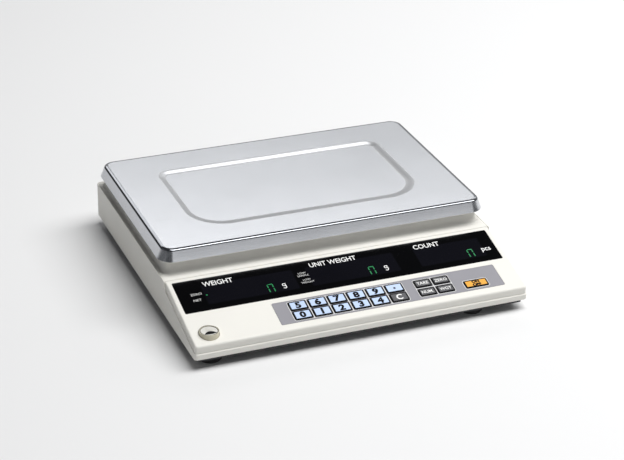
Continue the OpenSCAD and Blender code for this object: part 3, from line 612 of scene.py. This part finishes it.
pockets = [
    (round_loop(0, window_s, WINDOW[0] + 2 * GAP, WINDOW[1] + 2 * GAP, POCKET_R), WINDOW_DEPTH,
     round_loop(0, window_s, *WINDOW_OPENING, OPENING_R)),
    (round_loop(panel_x, panel_s, PANEL[0] + 2 * GAP, PANEL[1] + 2 * GAP, POCKET_R), PANEL_DEPTH,
     round_loop(panel_x + PANEL_OPENING_X, panel_s, *PANEL_OPENING, OPENING_R)),
]
console_loop = [p for p in inner if p[1] <= GROOVE_Y[0] + 1e-6]
console_flat = [(p[0], (p[1] - CONSOLE_Y) / math.cos(ANGLE)) for p in console_loop]
cover.fill([console_flat] + [p[0](SOFT_EDGE) for p in pockets] + [level_hole(0.4)], con)
for pocket, depth, opening in pockets:
    rows = edge_rows(pocket, 0, -depth, SOFT_EDGE, con, -1)
    rows += [[con(p, -depth) for p in opening(0)], [con(p, CONSOLE_UNDER) for p in opening(0)]]
    cover.rows(rows)
cover.rows([[con(p) for p in level_hole(0.4)], [con(p, -0.12) for p in level_hole(0.12)],
            [con(p, -0.4) for p in level_hole(0)],
            [(p[0], con(p)[1], con(p)[2] - LEVEL_WALL) for p in level_hole(0)]])

# Deck: flared foot, wall, rim and the well under the platter
DECK_SIDE_IN, DECK_BACK_IN = 3.5, 3.2
DECK_W = 2 * (HALF_W - DECK_SIDE_IN)
DECK_FRONT, DECK_BACK = -58.3, HALF_D - DECK_BACK_IN
DECK_R = 9.0
deck_mid = (DECK_FRONT + DECK_BACK) / 2
deck_loop = round_loop(0, deck_mid, DECK_W, DECK_BACK - DECK_FRONT, DECK_R, 10)
shoulder = [p for p in inner if p[1] >= BEND_Y + BEND_HALF - 1e-6]
shoulder_flat = [(p[0], p[1]) for p in shoulder]
cover.fill([shoulder_flat, deck_loop(0)], lambda p: level_at(p, SHOULDER_Z))
deck_profile = [
    (0, 48.5), (0.5, 48.62), (1.15, 49.2), (2.1, 50.7), (2.9, 52.3), (3.5, 53.9), (4.0, 55.6),
    (4.4, 57.6), (4.9, 60.4), (5.25, 62.6), (5.45, 63.7), (5.9, 64.5), (6.7, 64.9), (7.6, DECK_Z),
    (12.2, DECK_Z), (12.7, 64.86), (13.0, 64.4), (13.15, 62.6), (13.4, 61.9), (14.2, WELL_Z),
]
cover.rows([[level_at(p, z) for p in deck_loop(-d)] for d, z in deck_profile])
_, _, boss_mid = box_mm("cell_spacer_upper")
_, _, cell_mid = box_mm("load_cell")
BOSS_OPENING, BOSS_OPENING_R = (40, 42), 5
STOP_X, STOP_Y, STOP_HOLE_R = 104, 58, 8
WELL_LIP = 1.5
holes = [round_loop(boss_mid.x, cell_mid.y, *BOSS_OPENING, BOSS_OPENING_R)]
holes += [ring_loop(x * STOP_X, cell_mid.y + y * STOP_Y, STOP_HOLE_R) for x in (-1, 1) for y in (-1, 1)]
well_inset = deck_profile[-1][0]
cover.fill([deck_loop(-well_inset)] + [h(SOFT_EDGE) for h in holes], lambda p: level_at(p, WELL_Z))
for hole in holes:
    cover.rows(edge_rows(hole, WELL_Z, WELL_Z - WELL_LIP, SOFT_EDGE, level_at, -1))
cover.make("housing_cover", "housing", [IVORY], ["top_cover"], thick=COVER_WALL)

# ---------------------------------------------------------------- platter

tray_low, tray_high, tray_mid = box_mm("platter")
FLARE = 3.0
TRAY_CORNER_R = 13.0
STEEL_T = 0.9
TRAY_W, TRAY_D = 2 * (tray_high.x - FLARE), 2 * (tray_high.y - tray_mid.y - FLARE)
TRAY_Z, HEM_Z = tray_high.z, tray_low.z
tray_loop = round_loop(0, tray_mid.y, TRAY_W, TRAY_D, TRAY_CORNER_R, 14)
BEND_R = 5.0
PRESS_HALF_W, PRESS_FRONT, PRESS_BACK = 123.5, -21.5, 111.5
PRESS_FRONT_R, PRESS_BACK_R = 38, 14
FRONT_STRETCH = 1.6
PRESS, PRESS_RUN, PRESS_START, PRESS_STEPS = 2.4, 7.2, 1.5, 14


def pressed_loop(off=0.0):
    """Outline of the pressed panel: wide front corners and a gentler slope along the front."""
    w, front, back = PRESS_HALF_W + off, PRESS_FRONT - FRONT_STRETCH * off, PRESS_BACK + off
    f, b = PRESS_FRONT_R + off, PRESS_BACK_R + off
    return (arc(w - f, front + f, f, -90, 90, 16) + arc(w - b, back - b, b, 0, 90, 16)
            + arc(-w + b, back - b, b, 90, 90, 16) + arc(-w + f, front + f, f, 180, 90, 16))


tray = Piece()
tray_profile = [(2.6, HEM_Z + 0.01), (2.82, HEM_Z + 0.08), (2.93, HEM_Z + 0.3), (2.6, HEM_Z + 1.0),
                (1.85, HEM_Z + 2.9), (0.55, HEM_Z + 6.1)]
# The bend from the top down to the skirt, as tilts from and to, length along it and number of parts
bend_profile = [(-BEND_R, TRAY_Z)]
for start, end, run, parts in ((90, 85, 0.9, 3), (85, 64, 2.1, 8), (64, 40, 0.85, 6), (40, 23, 1.1, 4)):
    for k in range(parts):
        tilt = math.radians(start + (end - start) * (k + 0.5) / parts)
        off, z = bend_profile[-1]
        bend_profile.append((off + run / parts * math.sin(tilt), z - run / parts * math.cos(tilt)))
tray.rows([[level_at(p, z) for p in tray_loop(off)] for off, z in tray_profile + [bend_profile[-1]]])
# Slot 2 is the darker steel copy: painted shade along the bend
tray.rows([[level_at(p, z) for p in tray_loop(off)] for off, z in reversed(bend_profile)], slot=2)
press_profile = [(PRESS_START - PRESS_RUN * k / PRESS_STEPS,
                  TRAY_Z - PRESS * (0.5 - 0.5 * math.cos(math.pi * k / PRESS_STEPS)))
                 for k in range(PRESS_STEPS + 1)]
tray.rows([[level_at(p, z) for p in pressed_loop(off)] for off, z in press_profile], slot=1)
tray.fill([tray_loop(-BEND_R), pressed_loop(PRESS_START)], lambda p: level_at(p, TRAY_Z))
tray.fill([pressed_loop(PRESS_START - PRESS_RUN)], lambda p: level_at(p, TRAY_Z - PRESS))
tray.make("platter_tray", "platter", [STEEL, STEEL_PRESS, STEEL_BEND_PAINTED_SHADE], ["platter"],
          thick=STEEL_T)

# ---------------------------------------------------------------- display window

PANE_T = 1.2
window = Piece()
plate(window, round_loop(0, window_s, *WINDOW, PANE_R), 0, -PANE_T, SOFT_EDGE, con)
window.make("window_pane", "housing", [GLOSS_BLACK], ["display_window"])

# Prints lie this far off their surface
LIFT = 0.03
TUBE_TRIM, TUBE_SEEN_H = 6, 27
ghosts = Piece()
for node in ("weight_tube", "unit_weight_tube", "count_tube"):
    low, high, mid = box_mm(node)
    ghost = round_loop(mid.x - 1.5, window_s - 1, high.x - low.x - TUBE_TRIM, TUBE_SEEN_H, 1.0)
    patch(ghosts, ghost(), con, LIFT)
ghosts.make("window_tubes_seen", "housing", [TUBE_GHOST], upright=True)

# Words on the window: text, x, distance up the slope, size and weight
WORDS = (
    ("WEIGHT", -124.5, 80.6, 8.8, 0.12), ("UNIT WEIGHT", -3.5, 81.6, 8.6, 0.12),
    ("COUNT", 98.5, 81.3, 8.8, 0.12), ("pcs", 157.2, 60.8, 9.0, 0.1), ("ZERO", -150.2, 68.9, 4.3, -0.04),
    ("NET", -151.3, 60.8, 4.3, -0.04), ("LOW", -39.5, 72.8, 3.4, -0.03), ("SAMPLE", -39.5, 69.2, 3.4, -0.03),
    ("LOW", -37.9, 63.0, 3.4, -0.03), ("WEIGHT", -37.9, 59.4, 3.4, -0.03),
)
SMALL, SMALL_STRETCH, LARGE_STRETCH = 6, 1.05, 0.9
labels = Piece()
for text, x, s, size, weight in WORDS:
    stretch = SMALL_STRETCH if size < SMALL else LARGE_STRETCH
    letters(labels, text, x, s, size, con, weight, stretch, 2 * LIFT)
G_X = (-62.5, 46.0)
G_MID, G_TAIL, G_TOP = 61.4, 58.2, 63.3
G_R, TAIL_R, G_STROKE = 1.95, 2.05, 0.85
for x in G_X:
    # Single-storey g: bowl, stem and tail
    band(labels, ring_loop(x - 0.1, G_MID, G_R, 28), G_STROKE, con, 2 * LIFT)
    patch(labels, bar(x + G_R - G_STROKE, G_TAIL, x + G_R, G_TOP), con, 2 * LIFT)
    tail, turn = (arc(x - 0.1, G_TAIL, r, -150, 150, 14) for r in (TAIL_R, TAIL_R - G_STROKE))
    labels.rows([[con(p, 2 * LIFT) for p in tail], [con(p, 2 * LIFT) for p in turn]], closed=False)
labels.make("window_labels", "housing", [PRINT_WHITE], upright=True)

digits = Piece()
# The five lit bars of one figure, shaped like an n: middle, width, height and thickness
s, w, h, t = 60.0, 6.4, 11.4, 1.15
FIGURE_X = (-76.3, 30.7, 139.3)
for x in FIGURE_X:
    patch(digits, [(x - w / 2 + t * 0.9, s + h / 2), (x - w / 2 + t * 1.7, s + h / 2 - t),
                   (x + w / 2 - t * 0.9, s + h / 2 - t), (x + w / 2 - t * 0.1, s + h / 2)],
          con, 2 * LIFT)
    for side in (-1, 1):
        cx = x + side * (w / 2 - t / 2)
        for low, high in ((s - h / 2, s - 0.4), (s + 0.4, s + h / 2 - 0.6)):
            patch(digits, [(cx, low), (cx + t / 2, low + t / 2), (cx + t / 2, high - t / 2), (cx, high),
                           (cx - t / 2, high - t / 2), (cx - t / 2, low + t / 2)], con, 2 * LIFT)
LAMP_X, LAMP_S, LAMP_R = -140.3, 65.7, 0.9
patch(digits, arc(LAMP_X, LAMP_S, LAMP_R, 0, 360, 16)[:-1], con, 2 * LIFT)
digits.make("window_digits", "housing", [GREEN], upright=True)

# ---------------------------------------------------------------- keypad

NUMBER_KEYS = [f"key_{i}" for i in range(10)]
LEGENDS = {f"key_{i}": str(i) for i in range(10)}
LEGENDS.update({"key_point": ".", "key_clear": "C", "key_tare": "TARE", "key_zero": "ZERO",
                "key_number": "NUM.", "key_weight": "WGT"})
BLUE_KEYS = NUMBER_KEYS + ["key_point"]
HIGH_KEYS = ("key_5", "key_6", "key_7", "key_8", "key_9", "key_point")
# Distance up the slope; a key's box is no guide to it, because the stem hangs off its middle
LOW_ROW, HIGH_ROW = 17.0, 30.2
FUNC_ROWS = {"key_tare": 29.9, "key_zero": 29.9, "key_number": 17.3, "key_weight": 17.3}
FLANGE = 0.6
KEY_TOP, KEY_DISH = 0.7, 0.06
KEY_GAP = 0.3
KEY_R, KEY_OPENING_R = 1.3, 1.6
TALL_KEY, SHORT_KEY = 11.2, 9.6
PANEL_T, PANEL_EDGE = 0.8, 0.15
# Heights along the console's normal: flange's top and underside, stem's end
FLANGE_HIGH, FLANGE_LOW, STEM_END = -0.9, -1.7, -3.1
STEM_R = 1.6
# Size, weight and stretch of a legend
TYPE = {"number": (10.2, 0.55, 1.15), "clear": (9.6, 0.3, 1.0), "function": (5.2, 0.08, 1.0)}
POWER_TYPE = (4.6, 0.35, 1.1)
spots = {}
for name in [*LEGENDS, "key_power"]:
    low, high, mid = box_mm(name)
    tall = name in BLUE_KEYS or name == "key_clear"
    s = FUNC_ROWS.get(name, HIGH_ROW if name in HIGH_KEYS else LOW_ROW)
    spots[name] = (mid.x, s, high.x - low.x - 2 * FLANGE, TALL_KEY if tall else SHORT_KEY)

panel = Piece()
openings = [round_loop(x, s, w + 2 * KEY_GAP, h + 2 * KEY_GAP, KEY_OPENING_R)
            for x, s, w, h in spots.values()]
plate(panel, round_loop(panel_x, panel_s, *PANEL, PANE_R), 0, -PANEL_T, PANEL_EDGE, con, openings)
panel.make("keypad_face", "housing", [PANEL_GREY], ["keypad_panel"])

for name, (x, s, w, h) in spots.items():
    if name in BLUE_KEYS:
        face, slot = KEY_BLUE, "key_blue"
    elif name == "key_power":
        face, slot = KEY_ORANGE, "key_orange"
    else:
        face, slot = KEY_DARK, "key_dark"
    cap = Piece()
    loop = round_loop(x, s, w, h, KEY_R)
    border = 1.15 if h == TALL_KEY else 1.1
    cap.rows(edge_rows(loop, KEY_TOP - KEY_DISH, FLANGE_HIGH, SOFT_EDGE, con), slot=1)
    cap.rows([[con(p, KEY_TOP - KEY_DISH) for p in loop(-SOFT_EDGE)],
              [con(p, KEY_TOP) for p in loop(-border)]], slot=1)
    cap.fill([loop(-border)], lambda p: con(p, KEY_TOP))
    cap.rows([[con(p, n) for p in loop(off)] for off, n in
              ((0, FLANGE_HIGH), (FLANGE, FLANGE_HIGH), (FLANGE, FLANGE_LOW), (-3, FLANGE_LOW))], slot=1)
    cap.fill([loop(-3)], lambda p: con(p, FLANGE_LOW), slot=1)
    cap.rows([[con(p, n) for p in ring_loop(x, s, r, 20)(0)] for r, n in
              ((STEM_R, FLANGE_LOW + 0.1), (STEM_R, STEM_END + 0.1), (STEM_R - 0.3, STEM_END),
               (0.02, STEM_END))], slot=1)
    cap.make(name + "_cap", name, [face, PRINT_BLACK], [name], angle=50)
    legend = Piece()
    if name == "key_power":
        size, weight, stretch = POWER_TYPE
        for text, up in (("ON", 2.2), ("OFF", -2.2)):
            letters(legend, text, x, s + up, size, con, weight, stretch, KEY_TOP + LIFT)
        legend.make(name + "_marks", name, [PRINT_BLACK], upright=True)
        continue
    white = name not in BLUE_KEYS
    kind = "number" if name in BLUE_KEYS else "clear" if name == "key_clear" else "function"
    size, weight, stretch = TYPE[kind]
    if name == "key_point":
        patch(legend, arc(x, s - 0.4, 1.25, 0, 360, 20)[:-1], con, KEY_TOP + LIFT)
    else:
        letters(legend, LEGENDS[name], x, s, size, con, weight, stretch, KEY_TOP + LIFT)
    legend.make(name + "_legend", name, [PRINT_WHITE if white else PRINT_BLACK],
                upright=True)

LINE_W = 0.5
GROUP_S = 23.6
OUTLINE_PAST, OUTLINE_R = 1.1, 2.0
# Printed frames: how far past the outer keys' middles in all, height and corner radius
NUMBER_FRAME, FUNC_FRAME = (20.2, 26.6, 2.2), (19.2, 24.6, 2.0)
POWER_PAST, POWER_R = 2.8, 2.2
prints = Piece()
surround = Piece()
for x, s, w, h in spots.values():
    past = 2 * KEY_GAP + OUTLINE_PAST
    band(surround, round_loop(x, s, w + past, h + past, OUTLINE_R), LINE_W, con, LIFT)
surround.make("keypad_key_outlines", "housing", [PRINT_BLACK], upright=True)


def frame_round(first, last, past, height, radius):
    """Printed frame round a group of keys; returns the middles of its outer keys."""
    low_x, high_x = spots[first][0], spots[last][0]
    loop = round_loop((low_x + high_x) / 2, GROUP_S, high_x - low_x + past, height, radius)
    band(prints, loop, LINE_W, con, LIFT)
    return low_x, high_x


frame_round("key_0", "key_clear", *NUMBER_FRAME)
func_x = frame_round("key_tare", "key_zero", *FUNC_FRAME)
func_mid = sum(func_x) / 2
half_line, half_rule, cross_past = LINE_W / 2, 0.35, 9.1
patch(prints, bar(func_mid - half_line, 12.2, func_mid + half_line, 35.0), con, LIFT)
patch(prints, bar(func_x[0] - cross_past, GROUP_S - half_line, func_x[1] + cross_past, GROUP_S + half_line),
      con, 1.5 * LIFT)
x, s, w, h = spots["key_power"]
band(prints, round_loop(x, s, w + POWER_PAST, h + POWER_PAST, POWER_R), LINE_W, con, LIFT)
for i in range(5):
    mid = (spots[f"key_{i}"][0] + spots[f"key_{i + 1}" if i < 4 else "key_clear"][0]) / 2
    patch(prints, bar(mid - half_rule, 11.0, mid + half_rule, 36.2), con, 1.5 * LIFT)
prints.make("keypad_lines", "housing", [PRINT_WHITE], upright=True)

# ---------------------------------------------------------------- level

CUP_DEEP, CUP_FLOOR = 8, 1.2
LEVEL_Z, LEVEL_LOW = cup_high.z, cup_high.z - CUP_DEEP
cup = Piece()
lathe(cup, [(0, LEVEL_LOW), (CUP_R - 0.5, LEVEL_LOW), (CUP_R - 0.05, LEVEL_LOW + 0.4), (CUP_R, LEVEL_LOW + 1),
            (CUP_R, LEVEL_Z - 0.5), (CUP_R - 0.15, LEVEL_Z - 0.12), (CUP_R - 0.5, LEVEL_Z),
            (CUP_R - 1.0, LEVEL_Z), (CUP_R - 1.2, LEVEL_Z - 0.2), (CUP_R - 1.2, LEVEL_LOW + CUP_FLOOR),
            (0, LEVEL_LOW + CUP_FLOOR)], cup_mid.x, cup_mid.y, 72)
cup.make("level_ring", "housing", [CUP], ["level_cup"])
vial = Piece()
VIAL_R = CUP_R - 1.25
VIAL_LOW = LEVEL_LOW + CUP_FLOOR + 0.1
lathe(vial, [(0, VIAL_LOW), (VIAL_R, VIAL_LOW), (VIAL_R, LEVEL_Z - 0.7),
             (VIAL_R - 0.3, LEVEL_Z - 0.45), (0, LEVEL_Z - 0.42)], cup_mid.x, cup_mid.y, 64)
vial.make("level_fluid", "housing", [LIQUID], ["level_vial"])
marks = Piece()
band(marks, ring_loop(cup_mid.x, cup_mid.y, VIAL_R), 0.45, level_at, LEVEL_Z - 0.38)
band(marks, ring_loop(cup_mid.x, cup_mid.y, CUP_R - 0.45), 0.4, level_at, LEVEL_Z + 0.01)
# Painted refraction: a black crescent along the front of the fluid stands in for the dark image the lens
# shows there
LENS_W, LENS_FRONT, LENS_BACK = 5.9, -6.4, -0.9
lens_x = [-LENS_W + k * LENS_W / 8 for k in range(17)]
lens_low = [(cup_mid.x + x, cup_mid.y + LENS_FRONT + 0.8 * (x / LENS_W) ** 2) for x in lens_x]
lens_high = [(cup_mid.x + x, cup_mid.y + LENS_BACK - 4.1 * (x / LENS_W) ** 2) for x in reversed(lens_x)]
patch(marks, lens_low + lens_high[1:-1], level_at, LEVEL_Z - 0.36)
marks.make("level_marks_and_painted_refraction", "housing", [PRINT_BLACK], upright=True)
BUBBLE_X, BUBBLE_Y = 0.9, 3.1
bubble = Piece()
lathe(bubble, [(0, -0.34), (2.6, -0.34), (3.2, -0.28), (3.0, -0.16), (2.2, -0.1), (0, -0.08)],
      0, 0, 40)
bubble.points = [(cup_mid.x + BUBBLE_X + x, cup_mid.y + BUBBLE_Y + y, LEVEL_Z + z)
                 for x, y, z in bubble.points]
bubble.make("level_bubble", "housing", [LIQUID])

# ---------------------------------------------------------------- feet

# The pads' ribs for the fingers; their depth is a share of the radius
GRIP_RIBS, GRIP_DEPTH = 24, 0.02
for corner in ("front_left", "front_right", "rear_left", "rear_right"):
    low, high, mid = box_mm("foot_pad_" + corner)
    r, top = high.x - mid.x, high.z
    pad = Piece()
    profile = [(0, 0.9), (r * 0.55, 0.9), (r * 0.58, 0.05), (r - 2.2, 0.0), (r - 1.2, 0.5), (r - 0.25, 1.8),
               (r, 2.6), (r, 3.2), (r - 0.45, 3.5), (r - 0.45, 3.9), (r, 4.2), (r, top - 1.4),
               (r - 0.3, top - 0.7), (r - 1.2, top - 0.1), (r - 2.4, top), (r * 0.5, top), (0, top)]
    lathe(pad, profile, mid.x, mid.y, 72,
          wobble=lambda a, z, t=top: 1 - (
              GRIP_DEPTH * (0.5 + 0.5 * math.cos(GRIP_RIBS * a)) if 2 < z < t - 1 else 0))
    pad.make("foot_" + corner + "_pad", "foot_" + corner, [RUBBER], ["foot_pad_" + corner])
    low, high, mid = box_mm("foot_stud_" + corner)
    stud = Piece()
    thread(stud, mid.x, mid.y, low.z, high.z, high.x - mid.x)
    stud.make("foot_" + corner + "_stud", "foot_" + corner, [ZINC],
              ["foot_stud_" + corner], angle=50)

# ---------------------------------------------------------------- stage

FLOOR_HALF, FLOOR_GREY = 9, 0.77
SKY, SKY_STRENGTH = (0.90, 0.94, 1.0, 1), 0.08
stage_mesh = bpy.data.meshes.new("floor")
floor_square = bar(-FLOOR_HALF, -FLOOR_HALF, FLOOR_HALF, FLOOR_HALF)
stage_mesh.from_pydata([(x, y, 0) for x, y in floor_square], [], [(0, 1, 2, 3)])
floor = bpy.data.objects.new("floor", stage_mesh)
bpy.context.scene.collection.objects.link(floor)
stage_mesh.materials.append(finish_of("floor_paper", (FLOOR_GREY,) * 3, 0.85, drift=0.004, blotch=1.5))

world = bpy.data.worlds.new("studio")
world.use_nodes = True
world.node_tree.nodes["Background"].inputs[0].default_value = SKY
world.node_tree.nodes["Background"].inputs[1].default_value = SKY_STRENGTH
bpy.context.scene.world = world


def softbox(name, place, aim, width, height, watts):
    light = bpy.data.lights.new(name, "AREA")
    light.shape, light.size, light.size_y, light.energy = "RECTANGLE", width, height, watts
    lamp = bpy.data.objects.new(name, light)
    lamp.location = place
    lamp.rotation_mode = "QUATERNION"
    lamp.rotation_quaternion = (Vector(aim) - Vector(place)).to_track_quat("-Z", "Y")
    lamp.visible_camera = False
    bpy.context.scene.collection.objects.link(lamp)


softbox("overhead", (1.45, -0.36, 2.7), (1.45, -0.36, 0), 3.6, 1.7, 130)
softbox("back_low", (0.8, 2.0, 0.85), (0, 0, 0.7), 3.0, 0.8, 4.4)
softbox("back_high", (0.8, 2.05, 1.5), (0, 0, 0.1), 3.0, 0.45, 8.6)
softbox("left_wall", (-2.5, 0.2, 1.0), (0, 0.2, 0.5), 3.0, 0.8, 1.8)
softbox("right_wall", (2.5, 0.2, 1.0), (0, 0.2, 0.5), 3.0, 0.8, 2.6)
softbox("front_wall", (0.6, -2.7, 1.0), (0, 0, 0.3), 3.0, 0.95, 7.4)

# ---------------------------------------------------------------- camera

CAMERA_AT = Vector((-0.65523, -1.58193, 0.93044))
CAMERA_TURN = (22.7322, 27.47058, 1.526415)
FOCAL, SENSOR = 108.36, 36
yaw, pitch, roll = (math.radians(a) for a in CAMERA_TURN)
ahead = Vector((math.sin(yaw) * math.cos(pitch), math.cos(yaw) * math.cos(pitch), -math.sin(pitch)))
across = Vector((math.cos(yaw), -math.sin(yaw), 0))
above = across.cross(ahead)
turned_x = math.cos(roll) * across + math.sin(roll) * above
turned_y = -math.sin(roll) * across + math.cos(roll) * above
lens = bpy.data.cameras.new("camera")
lens.sensor_width = SENSOR
lens.lens = FOCAL
lens.clip_start, lens.clip_end = 0.05, 60
camera = bpy.data.objects.new("camera", lens)
columns = (turned_x, turned_y, -ahead, CAMERA_AT)
camera.matrix_world = Matrix([[c[i] for c in columns] for i in range(3)] + [[0, 0, 0, 1]])
bpy.context.scene.collection.objects.link(camera)
bpy.context.scene.camera = camera
bpy.context.scene.view_settings.view_transform = "Standard"
